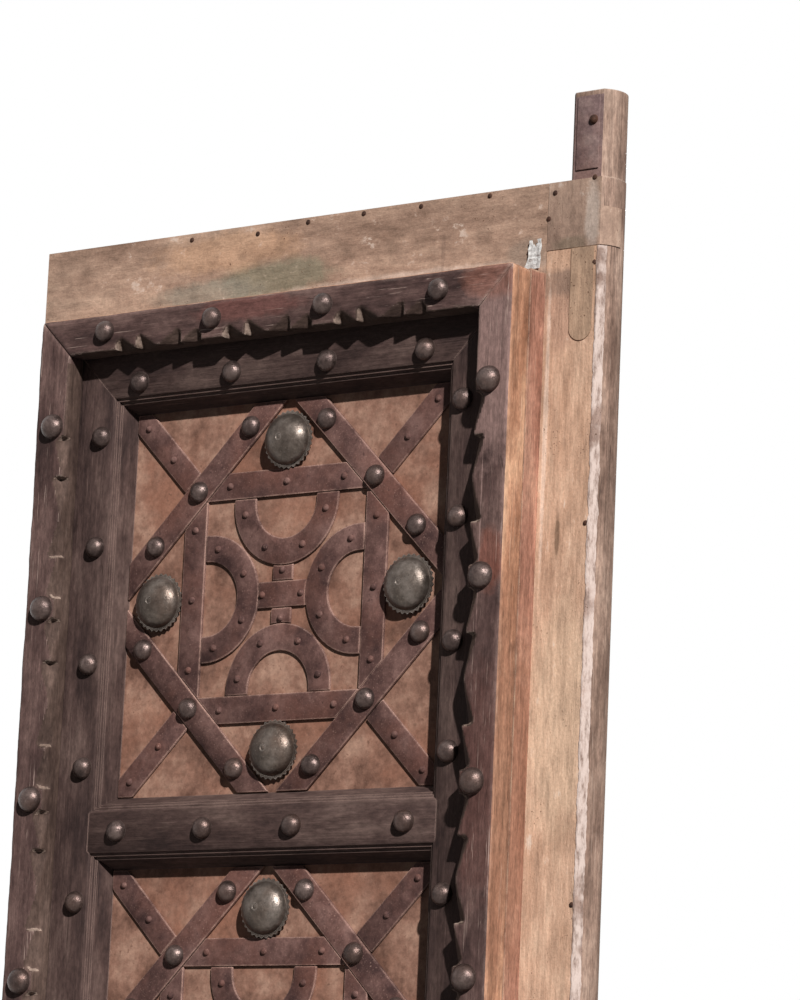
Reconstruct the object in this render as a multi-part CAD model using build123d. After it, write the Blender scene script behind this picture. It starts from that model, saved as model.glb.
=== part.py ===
from build123d import *
from math import atan
from math import cos
from math import degrees
from math import pi
from math import sqrt
import os

# A panelled door leaf that turns on pintles: timber stiles and rails, a raised frame of two mouldings,
# and square panels faced in sheet iron with riveted straps, domed bosses and studs.
# The origin is on the pivot axis at the shoulder of the bottom pintle. X runs to the right, seen from
# the decorated face, Z runs up, and a level is a distance from the pivot axis towards that face.
# All lengths are in millimetres.

# Layout of the leaf
panel_names = ("upper", "middle", "lower")
cross_rail_names = ("upper", "lower")
panel_size = 486.0
cross_rail_width = 90.0
rail_margin = 111.0
pivot_margin = 53.0
meeting_margin = 55.0

# Levels of the timber
stile_level = 25.0
back_level = -25.0
ground_rise = 9.0
inner_rise = 39.0
base_rise = 32.0
outer_rise = 69.0

# Post and pintles
post_radius = 33.0
pintle_radius = 32.0
top_pintle_length = 108.0
bottom_pintle_length = 75.0

# Joints of the frame
tenon_length = 70.0
tenon_thickness = 16.0
tenon_width_share = 0.6
joint_clearance = 0.5

# Panel boards and the battens behind them
boards_per_panel = 3
stile_lap = 36.0
cross_rail_lap = 24.0
batten_width = 90.0
batten_thickness = 25.0
batten_overlap = 90.0

# Inner moulding, whose reeded edge also runs along the cross rails
reed_reach = 22.0
inner_width = 66.0
reed_drop = 12.0
reed_reach_shares = (0.84, 0.80, 0.66, 0.62, 0.48, 0.44)
reed_drop_shares = (0.06, 0.36, 0.30, 0.68, 0.62, 1.0)

# Raised outer frame
base_width = 34.0
outer_width = 49.0
head_tooth_length = 22.0
side_tooth_length = 18.0
tooth_depth = 16.0
teeth_per_half_bay = 2
lug_wall_share = 0.7

# Iron
sheet_thickness = 1.2
strap_width = 34.0
strap_thickness = 4.0
strap_clearance = 0.6
diamond_overreach = 29.0
square_overreach = 4.0
arc_leg = 6.5
arc_gap = 3.8
tie_width = 33.0
upright_tie_width = 31.0
boss_margin = 51.0
boss_radius = 37.0
boss_height = 17.0
boss_sides = 10
boss_radius_shares = (0.86, 0.62, 0.30)
boss_height_shares = (0.20, 0.66, 1.0)
stud_radius = 14.0
stud_height = 12.5
side_stud_radius = 16.5
side_stud_height = 14.0
stud_sides = 8
stud_radius_shares = (0.80, 0.42)
stud_height_shares = (0.58, 1.0)

# Places of the studs
strap_stud_margin = 30.0
flank_stud_margin = 42.0
outer_stud_margin = 107.0
inner_stud_margin = 22.0
studs_across = 4
side_stud_shares = (0.074, 0.198, 0.326, 0.446, 0.566, 0.686, 0.806, 0.926)
inner_side_stud_shares = (
    *(0.065, 0.143, 0.225, 0.297, 0.389, 0.467),
    *(0.545, 0.623, 0.701, 0.779, 0.857, 0.935),
)
cross_rail_stud_shares = (-0.90, -0.34, 0.22, 0.905)
head_stud_inset = 23.0
side_stud_inset = 29.0
inner_stud_inset = 14.0

# Cladding of the stiles and rails
corner_plate_height = 83.0
plate_wrap_height = 47.0
sheet_gap = 1.0
tongue_width = 32.0
tongue_length = 113.0
tongue_inset = 36.0
pintle_strap_width = 32.0
pintle_strap_length = 91.0
pintle_strap_rise = 11.0
pintle_strap_thickness = 2.0

# One overrun serves all cuts
overrun = 5.0

# Sizes that follow from the ones above
half_ground = panel_size / 2
half_cross_rail = cross_rail_width / 2
panel_pitch = panel_size + cross_rail_width
field_height = len(panel_names) * panel_size + len(cross_rail_names) * cross_rail_width
half_field = field_height / 2
inner_reach = reed_reach + inner_width
frame_reach = inner_reach + base_width
leaf_height = field_height + 2 * (frame_reach + rail_margin)
field_z = leaf_height / 2
stile_edge = half_ground + stile_lap
frame_half_width = half_ground + frame_reach
frame_half_height = half_field + frame_reach
field_x = -pivot_margin - frame_half_width
ground_level = stile_level + ground_rise
inner_level = stile_level + inner_rise
base_level = stile_level + base_rise
outer_level = stile_level + outer_rise
strap_level = ground_level + strap_thickness
clad_level = stile_level + sheet_thickness
flat_half_width = sqrt(post_radius**2 - stile_level**2)
pivot_stile_left = field_x + stile_edge
meeting_stile_right = field_x - stile_edge
meeting_edge = field_x - frame_half_width - meeting_margin
half_strap = strap_width / 2
diamond_half = (half_ground + diamond_overreach) / 2
square_half = diamond_half + square_overreach
square_inner = square_half - half_strap
arc_centre = square_inner - arc_leg
arc_outer_radius = arc_centre / sqrt(2) - arc_gap / 2
arc_inner_radius = arc_outer_radius - strap_width

os.makedirs("parts", exist_ok=True)


def save(name, shape):
    """Write one piece, or one group of like pieces, to its own file."""
    export_step(shape, f"parts/{name}.step")


def raised(sketch, low, high):
    """Thicken an outline drawn in X and Z from one level to a higher one."""
    return extrude(Plane.XZ.offset(low) * sketch, amount=high - low)


def rectangle(left, right, bottom, top):
    """An outline in X and Z, given by its edges."""
    return Pos((left + right) / 2, (bottom + top) / 2) * Rectangle(right - left, top - bottom)


def block(left, right, bottom, top, low, high):
    """A squared piece of timber or sheet."""
    return raised(rectangle(left, right, bottom, top), low, high)


def polygon(points):
    """A closed outline through the points."""
    return make_face(Polyline(*points, close=True))


def group(shapes):
    """Several separate solids that share one file."""
    return Compound(children=[solid for shape in shapes for solid in shape.solids()])


def panel_centre(index):
    """Height of a panel's centre, counted from the top."""
    return field_z + half_field - half_ground - index * panel_pitch


def cross_rail_centre(index):
    """Height of a cross rail's centre, counted from the top."""
    return panel_centre(index) - panel_pitch / 2


def tenon(stile_side, centre_z, width, clearance):
    """A tenon at a stile's inner edge, or with a clearance the mortise that takes it."""
    shoulder = pivot_stile_left if stile_side > 0 else meeting_stile_right
    end = shoulder + stile_side * (tenon_length + clearance)
    half_width = width * tenon_width_share / 2 + clearance
    half_thickness = tenon_thickness / 2 + clearance
    sides = sorted((shoulder, end))
    return block(*sides, centre_z - half_width, centre_z + half_width, -half_thickness, half_thickness)


# Rails, listed as centre height and width, all tenoned into both stiles
rail_inner_edge = half_field + stile_lap
outer_rail_width = leaf_height / 2 - rail_inner_edge
outer_rail_distance = rail_inner_edge + outer_rail_width / 2
stem_width = cross_rail_width - 2 * cross_rail_lap
rail_seats = [(field_z + up * outer_rail_distance, outer_rail_width) for up in (1, -1)]
rail_seats += [(cross_rail_centre(index), stem_width) for index in range(len(cross_rail_names))]


def tenoned(centre_z, width, high):
    """A rail between the stiles, with a tenon at each end."""
    bottom = centre_z - width / 2
    rail = block(meeting_stile_right, pivot_stile_left, bottom, bottom + width, back_level, high)
    return rail + tenon(1, centre_z, width, 0) + tenon(-1, centre_z, width, 0)


def mortises(stile_side):
    """All the mortises of one stile."""
    return [tenon(stile_side, centre_z, width, joint_clearance) for centre_z, width in rail_seats]


# Pivot stile: one timber, rounded on its outer edge, which runs on as a slightly thinner pintle at each end
def flattened_round(radius):
    """A round section about the pivot axis, with a flat in the plane of the stile's face."""
    kept = Pos(0, (radius - stile_level) / 2) * Rectangle(2 * radius, radius + stile_level)
    return Circle(radius) & kept


pintle_round = flattened_round(pintle_radius)
stile_web = Pos(pivot_stile_left / 2, 0) * Rectangle(-pivot_stile_left, stile_level - back_level)
stile_section = flattened_round(post_radius) + stile_web
pivot_stile = extrude(stile_section, leaf_height)
pivot_stile += Pos(0, 0, leaf_height) * extrude(pintle_round, top_pintle_length)
pivot_stile += Pos(0, 0, -bottom_pintle_length) * extrude(pintle_round, bottom_pintle_length)
save("pivot_stile", pivot_stile - mortises(1))

# Meeting stile
meeting_stile = block(meeting_edge, meeting_stile_right, 0, leaf_height, back_level, stile_level)
save("meeting_stile", meeting_stile - mortises(-1))

# Top and bottom rails
save("top_rail", tenoned(*rail_seats[0], stile_level))
save("bottom_rail", tenoned(*rail_seats[1], stile_level))


def reeded_edge(side):
    """Points of the reeded and splayed edge, from its foot on the panel to the moulding's face."""
    reeds = [
        (reed_reach * reach, inner_level - reed_drop * drop)
        for reach, drop in zip(reed_reach_shares, reed_drop_shares)
    ]
    return [(0, ground_level), *reversed(reeds), (reed_reach, inner_level)][::side]


# Cross rails: a stem between the panels, and a head whose reeded edges are mitred at both ends
def cross_rail_plan(centre_z):
    """Outline of a cross rail's head, pointed at its ends where it meets the side mouldings."""
    half_face = half_cross_rail - reed_reach
    tip = half_ground + reed_reach
    lower_end = [(half_ground, -half_cross_rail), (tip, -half_face)]
    right = lower_end + [(x, -z) for x, z in reversed(lower_end)]
    left = [(-x, z) for x, z in reversed(right)]
    return Pos(field_x, centre_z) * polygon(right + left)


def cross_rail_head(centre_z):
    """The carved front of a cross rail."""
    lower = [(-level, reach - half_cross_rail) for reach, level in reeded_edge(1)]
    upper = [(-level, half_cross_rail - reach) for reach, level in reeded_edge(-1)]
    section = Plane.YZ * polygon(lower + upper)
    run = extrude(section, amount=half_ground + reed_reach, both=True)
    return Pos(field_x, 0, centre_z) * run & raised(cross_rail_plan(centre_z), ground_level, inner_level)


for index, name in enumerate(cross_rail_names):
    centre = cross_rail_centre(index)
    save(f"cross_rail_{name}", tenoned(centre, stem_width, ground_level) + cross_rail_head(centre))

# Panel boards, the iron sheet in front of them and the batten behind them
boards_left = meeting_stile_right + joint_clearance
board_step = (pivot_stile_left - joint_clearance - boards_left) / boards_per_panel
board_front = ground_level - sheet_thickness
for index, name in enumerate(panel_names):
    centre = panel_centre(index)
    upper_lap = stile_lap if index == 0 else cross_rail_lap
    lower_lap = stile_lap if name == panel_names[-1] else cross_rail_lap
    bottom = centre - half_ground - lower_lap + joint_clearance
    top = centre + half_ground + upper_lap - joint_clearance
    boards = [
        block(
            boards_left + place * board_step,
            boards_left + (place + 1) * board_step - joint_clearance,
            bottom,
            top,
            back_level,
            board_front,
        )
        for place in range(boards_per_panel)
    ]
    save(f"panel_boards_{name}", group(boards))
    boards_right = boards_left + boards_per_panel * board_step
    save(f"panel_sheet_{name}", block(boards_left, boards_right, bottom, top, board_front, ground_level))
    batten_sides = (meeting_stile_right - batten_overlap, pivot_stile_left + batten_overlap)
    batten_ends = (centre - batten_width / 2, centre + batten_width / 2)
    batten = block(*batten_sides, *batten_ends, back_level - batten_thickness, back_level)
    save(f"back_batten_{name}", batten)


# Frame bars: each is drawn as the top bar, centred on the field, and turned to its side
side_turns = {"top": 0, "right": 90, "bottom": 180, "left": 270}
across_sides = ("top", "bottom")


def reaches(side):
    """Half the field along a bar, and from its middle out to the bar."""
    if side in across_sides:
        return half_ground, half_field
    return half_field, half_ground


def on_side(side, shape):
    """Turn a bar from the top of the field to its own side."""
    return Pos(field_x, 0, field_z) * Rot(0, side_turns[side], 0) * shape


def mitred_bar(side, section, near, far):
    """A bar of the given section, in reach and level, cut to mitres at both ends."""
    along, across = reaches(side)
    profile = Plane.YZ * polygon([(-level, across + reach) for reach, level in section])
    bar = extrude(profile, amount=along + far, both=True)
    levels = [level for reach, level in section]
    ends = [(along + near, across + near), (along + far, across + far)]
    plan = polygon(ends + [(-x, z) for x, z in reversed(ends)])
    return bar & raised(plan, min(levels), max(levels))


# Inner moulding: it lies on the stiles and rails and laps down to the panels
inner_section = reeded_edge(1)
inner_section += [(inner_reach, inner_level), (inner_reach, stile_level)]
inner_section += [(stile_lap, stile_level), (stile_lap, ground_level)]
for side in side_turns:
    inner_bar = on_side(side, mitred_bar(side, inner_section, 0, inner_reach))
    if side in ("right", "left"):
        for index in range(len(cross_rail_names)):
            inner_bar -= raised(cross_rail_plan(cross_rail_centre(index)), ground_level, inner_level)
    save(f"inner_moulding_{side}", inner_bar)


def spread(reach):
    """Even places of the studs across the leaf, as far as the reach on both sides."""
    return [reach * (2 * place / (studs_across - 1) - 1) for place in range(studs_across)]


def outer_stud_places(side):
    """Places of the studs along an outer bar, from its middle."""
    if side in across_sides:
        return spread(frame_half_width - outer_stud_margin)
    length = 2 * frame_half_height
    places = [share * length - frame_half_height for share in side_stud_shares]
    return places if side == "right" else [-place for place in reversed(places)]


# Raised outer frame: a plain base strip, and on it a moulding cut into lugs and teeth along its inner edge
head_carving = (head_stud_inset, head_tooth_length)
side_carving = (side_stud_inset, side_tooth_length)
tip_reach = frame_reach - outer_width


outer_section = [
    (tip_reach, inner_level),
    (tip_reach, outer_level),
    (frame_reach, outer_level),
    (frame_reach, base_level),
    (inner_reach, base_level),
    (inner_reach, inner_level),
]


def chip(wall, run, length, across):
    """A three-sided chip: a square wall, and a floor that climbs from its foot to the plain face."""
    past_tip = 1 + overrun / length
    tip = across + tip_reach
    edge = tip - overrun
    root = (wall, -outer_level, tip + length)
    crest = (wall, -outer_level, edge)
    end = (wall + run * past_tip, -outer_level, edge)
    foot = Vertex(wall, tooth_depth * past_tip - outer_level, edge)
    return loft([polygon([root, crest, end]), foot], ruled=True)


def carved_moulding(side):
    """An outer moulding with teeth between round lugs, in halves that mirror each other."""
    bar = mitred_bar(side, outer_section, tip_reach, frame_reach)
    across = reaches(side)[1]
    stud_inset, length = head_carving if side in across_sides else side_carving
    lug_radius = outer_width - stud_inset
    lug_wall = lug_radius * lug_wall_share
    places = outer_stud_places(side)
    lugs = [Pos(place, across + tip_reach + lug_radius) * Circle(lug_radius) for place in places]
    kept = [raised(lug, base_level, outer_level) for lug in lugs]
    cuts = []
    for first, second in zip(places, places[1:]):
        run = (second - first - 2 * lug_wall) / (2 * teeth_per_half_bay)
        for tooth in range(teeth_per_half_bay):
            step = lug_wall + tooth * run
            cuts.append(chip(first + step, run, length, across) - kept)
            cuts.append(chip(second - step, -run, length, across) - kept)
    return on_side(side, bar - cuts)


base_section = [
    (inner_reach, stile_level),
    (inner_reach, base_level),
    (frame_reach, base_level),
    (frame_reach, stile_level),
]
for side in side_turns:
    save(f"frame_base_{side}", on_side(side, mitred_bar(side, base_section, inner_reach, frame_reach)))
    save(f"outer_moulding_{side}", carved_moulding(side))


# Straps of one panel, drawn about its centre and cut so that they meet edge to edge
def turned(sketch, first=0):
    """Four copies of an outline, a quarter turn apart."""
    return [Rot(0, 0, first + quarter * 90) * sketch for quarter in range(4)]


def fused(sketches):
    """One outline of several."""
    whole = sketches[0]
    for sketch in sketches[1:]:
        whole += sketch
    return whole


ground = Rectangle(panel_size, panel_size)
diagonal_distance = diamond_half * sqrt(2)
diagonal_run = Pos(0, diagonal_distance) * Rectangle(2 * panel_size, strap_width)
cleared_run = Pos(0, diagonal_distance) * Rectangle(2 * panel_size, strap_width + 2 * strap_clearance)
diagonal_margin = fused(turned(cleared_run, 45))
quarter_ground = rectangle(strap_clearance, half_ground, strap_clearance, half_ground)
diamond_straps = turned(Rot(0, 0, -45) * diagonal_run & quarter_ground)
inside_diamond = Rot(0, 0, 45) * Rectangle(2 * diagonal_distance, 2 * diagonal_distance) - diagonal_margin
corner_run = Rot(0, 0, 45) * rectangle(diagonal_distance, 2 * panel_size, -tie_width / 2, tie_width / 2)
corner_straps = turned((corner_run & ground) - diagonal_margin)
square_run = rectangle(-square_half, square_half, square_inner, square_half + half_strap)
square_strap = square_run & inside_diamond
arc_end = square_inner - strap_clearance
side_square_strap = Rot(0, 0, 90) * square_strap & rectangle(-2 * square_half, 0, -arc_end, arc_end)
square_pair = (square_strap, side_square_strap)
square_straps = [Rot(0, 0, half_turn) * strap for strap in square_pair for half_turn in (0, 180)]
arc_bend = Pos(0, arc_centre) * (Circle(arc_outer_radius) - Circle(arc_inner_radius))
arc_bend &= rectangle(-square_half, square_half, 0, arc_centre)
arc_legs = rectangle(-arc_outer_radius, arc_outer_radius, arc_centre, arc_end)
arc_legs -= rectangle(-arc_inner_radius, arc_inner_radius, arc_centre, arc_end)
arc_straps = turned(arc_bend + arc_legs)
arc_margins = fused(turned(Pos(0, arc_centre) * Circle(arc_outer_radius + strap_clearance)))
cross_tie = Rectangle(square_half, tie_width) - arc_margins
upright_foot = tie_width / 2 + strap_clearance
upright_half = upright_tie_width / 2
upright_tie = rectangle(-upright_half, upright_half, upright_foot, square_inner) - arc_margins
centre_ties = [cross_tie, upright_tie, Rot(0, 0, 180) * upright_tie]
straight_kinds = {
    "diamond_straps": diamond_straps,
    "corner_straps": corner_straps,
    "square_straps": square_straps,
}
curved_kinds = {"arc_straps": arc_straps, "centre_ties": centre_ties}


def on_panel(index, outlines):
    """Straps of one panel, lying on its sheet."""
    place = Pos(field_x, panel_centre(index))
    return [raised(place * outline, ground_level, strap_level) for outline in outlines]


for index, name in enumerate(panel_names):
    for kind, outlines in straight_kinds.items():
        save(f"{kind}_{name}", group(on_panel(index, outlines)))
for kind, outlines in curved_kinds.items():
    save(kind, group([strap for index in range(len(panel_names)) for strap in on_panel(index, outlines)]))


# Bosses and studs: hammered heads with flat facets, in tiers that close in towards the top
def faceted_head(radius, height, sides, radius_shares, height_shares):
    """A domed head of tapering tiers, standing on its base."""
    head = None
    low = 0
    near = radius
    for radius_share, height_share in zip(radius_shares, height_shares):
        tier = height * height_share - low
        lean = degrees(atan((near - radius * radius_share) * cos(pi / sides) / tier))
        ring = Pos(0, 0, low) * extrude(RegularPolygon(near, sides), amount=tier, taper=lean)
        head = ring if head is None else head + ring
        low = height * height_share
        near = radius * radius_share
    return head


stud = faceted_head(stud_radius, stud_height, stud_sides, stud_radius_shares, stud_height_shares)
side_stud = faceted_head(
    side_stud_radius, side_stud_height, stud_sides, stud_radius_shares, stud_height_shares
)
boss = faceted_head(boss_radius, boss_height, boss_sides, boss_radius_shares, boss_height_shares)


def set_in(head, places, level):
    """Copies of a head at places in X and Z, standing on a level."""
    return group([Plane.XZ.offset(level) * Pos(x, z) * head for x, z in places])


boss_distance = half_ground - boss_margin
boss_spots = [(0, boss_distance), (boss_distance, 0), (0, -boss_distance), (-boss_distance, 0)]
near_apex = half_ground - strap_stud_margin
near_side = 2 * diamond_half - near_apex
near_flank = half_ground - flank_stud_margin
flank_height = 2 * diamond_half - near_flank
upper_spots = ((near_side, near_apex), (diamond_half, diamond_half), (near_flank, flank_height))
lower_spots = ((near_side, near_apex), (diamond_half, diamond_half), (near_apex, near_side))
stud_spots = [(x * across, z) for x, z in upper_spots for across in (1, -1)]
stud_spots += [(x * across, -z) for x, z in lower_spots for across in (1, -1)]
centres = [panel_centre(index) for index in range(len(panel_names))]
boss_places = [(field_x + x, centre + z) for centre in centres for x, z in boss_spots]
save("bosses", set_in(boss, boss_places, strap_level))
strap_stud_places = [(field_x + x, centre + z) for centre in centres for x, z in stud_spots]
save("strap_studs", set_in(stud, strap_stud_places, strap_level))

# Studs of the outer frame, each on its lug
head_height = frame_half_height - head_stud_inset
head_places = [(field_x + x, field_z + up * head_height) for x in outer_stud_places("top") for up in (1, -1)]
side_reach = frame_half_width - side_stud_inset
side_heights = [field_z - place for place in outer_stud_places("right")]
side_places = [(field_x + side * side_reach, z) for z in side_heights for side in (1, -1)]
head_studs = set_in(stud, head_places, outer_level)
save("outer_frame_studs", group([head_studs, set_in(side_stud, side_places, outer_level)]))

# Studs of the inner moulding and of the cross rails
inner_across = spread(half_ground - inner_stud_margin)
stud_line = reed_reach + inner_stud_inset
inner_studs = [(field_x + x, field_z + up * (half_field + stud_line)) for x in inner_across for up in (1, -1)]
inner_length = field_height + 2 * inner_reach
inner_top = field_z + half_field + inner_reach
inner_heights = [inner_top - share * inner_length for share in inner_side_stud_shares]
inner_studs += [(field_x + side * (half_ground + stud_line), z) for z in inner_heights for side in (1, -1)]
save("inner_frame_studs", set_in(stud, inner_studs, inner_level))
rail_centres = [cross_rail_centre(index) for index in range(len(cross_rail_names))]
cross_rail_places = [
    (field_x + share * half_ground, z)
    for z in rail_centres
    for share in cross_rail_stud_shares
]
save("cross_rail_studs", set_in(stud, cross_rail_places, inner_level))

# Cladding: sheets on the rails and stiles, and plates bent round the post at its ends
frame_right = field_x + frame_half_width
frame_left = field_x - frame_half_width
frame_top = field_z + frame_half_height
frame_bottom = field_z - frame_half_height
rail_sheet_right = frame_right - sheet_gap
save("top_rail_sheet", block(meeting_edge, rail_sheet_right, frame_top, leaf_height, stile_level, clad_level))
save("bottom_rail_sheet", block(meeting_edge, rail_sheet_right, 0, frame_bottom, stile_level, clad_level))
meeting_sheet_ends = (frame_bottom + sheet_gap, frame_top - sheet_gap)
save("meeting_stile_sheet", block(meeting_edge, frame_left, *meeting_sheet_ends, stile_level, clad_level))
plate_lower_edge = leaf_height - corner_plate_height
pivot_sheet_ends = (corner_plate_height + sheet_gap, plate_lower_edge - sheet_gap)
save("pivot_stile_sheet", block(frame_right, flat_half_width, *pivot_sheet_ends, stile_level, clad_level))
bent_sheet = offset(stile_section, amount=sheet_thickness) - stile_section
plate_reach = post_radius + overrun
flat_zone = rectangle(frame_right, flat_half_width, -plate_reach, 0)
wrap_zone = rectangle(flat_half_width, plate_reach, -plate_reach, 0)
corner_plate = extrude(bent_sheet & flat_zone, corner_plate_height)
corner_plate += extrude(bent_sheet & wrap_zone, plate_wrap_height)
top_plate = Pos(0, 0, plate_lower_edge) * corner_plate
save("corner_plate_top", top_plate)
save("corner_plate_bottom", mirror(top_plate, about=Plane.XY.offset(field_z)))

# Tongue that hangs from the top plate, with a rounded end
tongue_left = frame_right + tongue_inset
tongue_top = plate_lower_edge - sheet_gap
tongue_radius = tongue_width / 2
tongue_foot = tongue_top - tongue_length + tongue_radius
tongue = rectangle(tongue_left, tongue_left + tongue_width, tongue_foot, tongue_top)
tongue += Pos(tongue_left + tongue_radius, tongue_foot) * Circle(tongue_radius)
save("tongue_strap", raised(tongue, clad_level, clad_level + sheet_thickness))

# Strap on the flat of the top pintle
strap_foot = leaf_height + pintle_strap_rise
half_pintle_strap = pintle_strap_width / 2
pintle_strap = rectangle(-half_pintle_strap, half_pintle_strap, strap_foot, strap_foot + pintle_strap_length)
save("pintle_strap", raised(pintle_strap, stile_level, stile_level + pintle_strap_thickness))
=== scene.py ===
# %% [markdown]
# # An old studded door leaf
# This lesson dresses the solids of a heavy door leaf: timber mouldings, rusted panel sheets, riveted straps,
# bosses and studs. The solids fix every size and place. Here they get worn edges, round heads and finishes.
# We load them first and keep their box, because the dressed leaf has to stay inside it.

# %% Load the solids
from math import asin
from math import cos
from math import pi
from math import radians
from math import sin
from random import Random

import bpy
from mathutils import Matrix
from mathutils import Vector
from mathutils import noise


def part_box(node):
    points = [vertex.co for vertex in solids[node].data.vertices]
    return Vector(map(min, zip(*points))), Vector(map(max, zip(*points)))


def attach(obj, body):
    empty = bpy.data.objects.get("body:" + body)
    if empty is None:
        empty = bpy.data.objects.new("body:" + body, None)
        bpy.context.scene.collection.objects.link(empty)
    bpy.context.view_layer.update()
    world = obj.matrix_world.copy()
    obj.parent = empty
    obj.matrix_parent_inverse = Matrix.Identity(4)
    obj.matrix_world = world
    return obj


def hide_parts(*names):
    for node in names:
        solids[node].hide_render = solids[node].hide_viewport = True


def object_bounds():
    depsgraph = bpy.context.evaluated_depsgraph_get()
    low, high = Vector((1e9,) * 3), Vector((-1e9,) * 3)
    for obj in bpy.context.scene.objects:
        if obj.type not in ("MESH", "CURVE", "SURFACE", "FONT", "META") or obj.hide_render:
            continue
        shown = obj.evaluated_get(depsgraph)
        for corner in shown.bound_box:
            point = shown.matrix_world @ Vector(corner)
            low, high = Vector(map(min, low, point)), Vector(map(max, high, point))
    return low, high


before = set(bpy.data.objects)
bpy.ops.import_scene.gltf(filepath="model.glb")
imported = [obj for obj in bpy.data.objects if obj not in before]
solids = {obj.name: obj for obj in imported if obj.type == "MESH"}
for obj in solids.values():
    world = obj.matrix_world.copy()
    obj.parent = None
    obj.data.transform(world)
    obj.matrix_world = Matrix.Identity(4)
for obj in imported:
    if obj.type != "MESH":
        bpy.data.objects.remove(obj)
cad_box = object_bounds()
scene = bpy.context.scene
scene.view_settings.view_transform = "Standard"
MM = 0.001
print("solids", len(solids), "box", [tuple(round(c, 3) for c in corner) for corner in cad_box])

# %% [markdown]
# Everything on the leaf is placed from a few planes and points. We could type them again, but reading them
# off the solids keeps the two models together: the straps of each panel, say, give its centre.

# %% Planes and points of the leaf
PANELS = ("upper", "middle", "lower")
SIDES = ("top", "right", "bottom", "left")


def middle(node):
    """Centre of a solid's box."""
    low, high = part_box(node)
    return (low + high) / 2


panel_centres = [middle(f"diamond_straps_{name}") for name in PANELS]
strap_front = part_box("diamond_straps_upper")[0].y
clad_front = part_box("pivot_stile_sheet")[0].y
field_x = panel_centres[0].x
eye = Vector((field_x, strap_front, panel_centres[0].z))
leaf_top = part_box("meeting_stile")[1].z
frame_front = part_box("outer_moulding_top")[0].y
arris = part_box("pivot_stile_sheet")[1].x
print("upper panel centre", tuple(round(c, 3) for c in eye))

# %% [markdown]
# The camera stands well to the right of the leaf and below the upper panel, and looks up at it through a
# long lens, so that lines stay nearly parallel. Its place is given from the panel's centre.

# %% Camera
CAMERA_PLACE = Vector((3.0972, -3.9655, -0.8193))
CAMERA_TURN = (100.619, -2.512, 35.932)
CAMERA_LENS = 150.25
CAMERA_SIGHT = 100

bpy.ops.object.camera_add(location=eye + CAMERA_PLACE, rotation=[radians(turn) for turn in CAMERA_TURN])
camera = bpy.context.object
camera.data.lens = CAMERA_LENS
camera.data.clip_end = CAMERA_SIGHT
scene.camera = camera
print("camera", tuple(round(c, 2) for c in camera.location))

# %% [markdown]
# One low lamp from the right gives the long shadows under the mouldings, and its angle keeps their edges a
# little soft. A second lamp stands behind the leaf, which shields the front from it, so that the back can be
# seen too. Both are suns, because a sun lights near and far places alike.

# %% Lamps
KEY_FROM = Vector((1.2, -1.0, 0.95))
KEY_STRENGTH = 5.4
KEY_ANGLE = 1.6
BACK_FROM = Vector((-0.6, 1.0, 0.35))
BACK_STRENGTH = 2.8
BACK_ANGLE = 6

lamps = (
    (KEY_FROM, KEY_STRENGTH, KEY_ANGLE),
    (BACK_FROM, BACK_STRENGTH, BACK_ANGLE),
)
for place, strength, angle in lamps:
    bpy.ops.object.light_add(type="SUN")
    lamp = bpy.context.object
    lamp.rotation_euler = place.to_track_quat("Z", "Y").to_euler()
    lamp.data.energy = strength
    lamp.data.angle = radians(angle)

print("lamps", len(lamps))

# %% [markdown]
# The world fills the shadows faintly, and shows plain white behind the leaf and in its metal. One background
# can't do both, so a Light Path node chooses between two by the kind of ray that asks.

# %% World
FILL_STRENGTH = 0.09
FILL_TONE = (0.86, 0.93, 1, 1)
WHITE = (1, 1, 1, 1)

world = bpy.data.worlds.new("plain_studio")
scene.world = world
world.use_nodes = True
sky = world.node_tree
fill = sky.nodes["Background"]
fill.inputs["Strength"].default_value = FILL_STRENGTH
fill.inputs["Color"].default_value = FILL_TONE
white = sky.nodes.new("ShaderNodeBackground")
white.inputs["Color"].default_value = WHITE
path = sky.nodes.new("ShaderNodeLightPath")
seen = path.outputs["Is Camera Ray"]
for ray in ("Is Glossy Ray", "Is Transmission Ray"):
    either = sky.nodes.new("ShaderNodeMath")
    either.operation = "MAXIMUM"
    sky.links.new(seen, either.inputs[0])
    sky.links.new(path.outputs[ray], either.inputs[1])
    seen = either.outputs[0]
choice = sky.nodes.new("ShaderNodeMixShader")
sky.links.new(seen, choice.inputs["Fac"])
sky.links.new(fill.outputs[0], choice.inputs[1])
sky.links.new(white.outputs[0], choice.inputs[2])
sky.links.new(choice.outputs[0], sky.nodes["World Output"].inputs["Surface"])

print("world", world.name, "with a fill of", FILL_STRENGTH)

# %% [markdown]
# A pale floor at the foot of the leaf catches its shadow. It is hidden from diffuse rays, so that it doesn't
# light the leaf from below.

# %% Floor
FLOOR_SIZE = 40
FLOOR_TONE = (0.70, 0.69, 0.67, 1)
FLOOR_ROUGHNESS = 0.9

bpy.ops.mesh.primitive_plane_add(size=FLOOR_SIZE, location=(field_x, 0, cad_box[0].z))
floor = bpy.context.object
floor.name = "floor"
floor.visible_diffuse = False
pale = bpy.data.materials.new("pale_floor")
pale.use_nodes = True
shader = pale.node_tree.nodes["Principled BSDF"]
shader.inputs["Base Color"].default_value = FLOOR_TONE
shader.inputs["Roughness"].default_value = FLOOR_ROUGHNESS
floor.data.materials.append(pale)
print("floor at", round(floor.location.z, 3))

# %% [markdown]
# Every finish is a small web of shader nodes. Adding and linking nodes one by one takes many lines, so one
# helper adds a node, sets or links its sockets, and hands back an output for the next one. Colours are given
# as a screen shows them, which is easier to judge than the amounts of light that sockets want.

# %% Colours and nodes
def tone(red, green, blue):
    """A colour as a screen shows it, from 0 to 255, for a socket that wants light."""
    parts = [part / 255 for part in (red, green, blue)]
    return (*[part / 12.92 if part <= 0.04045 else ((part + 0.055) / 1.055) ** 2.4 for part in parts], 1)


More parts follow.
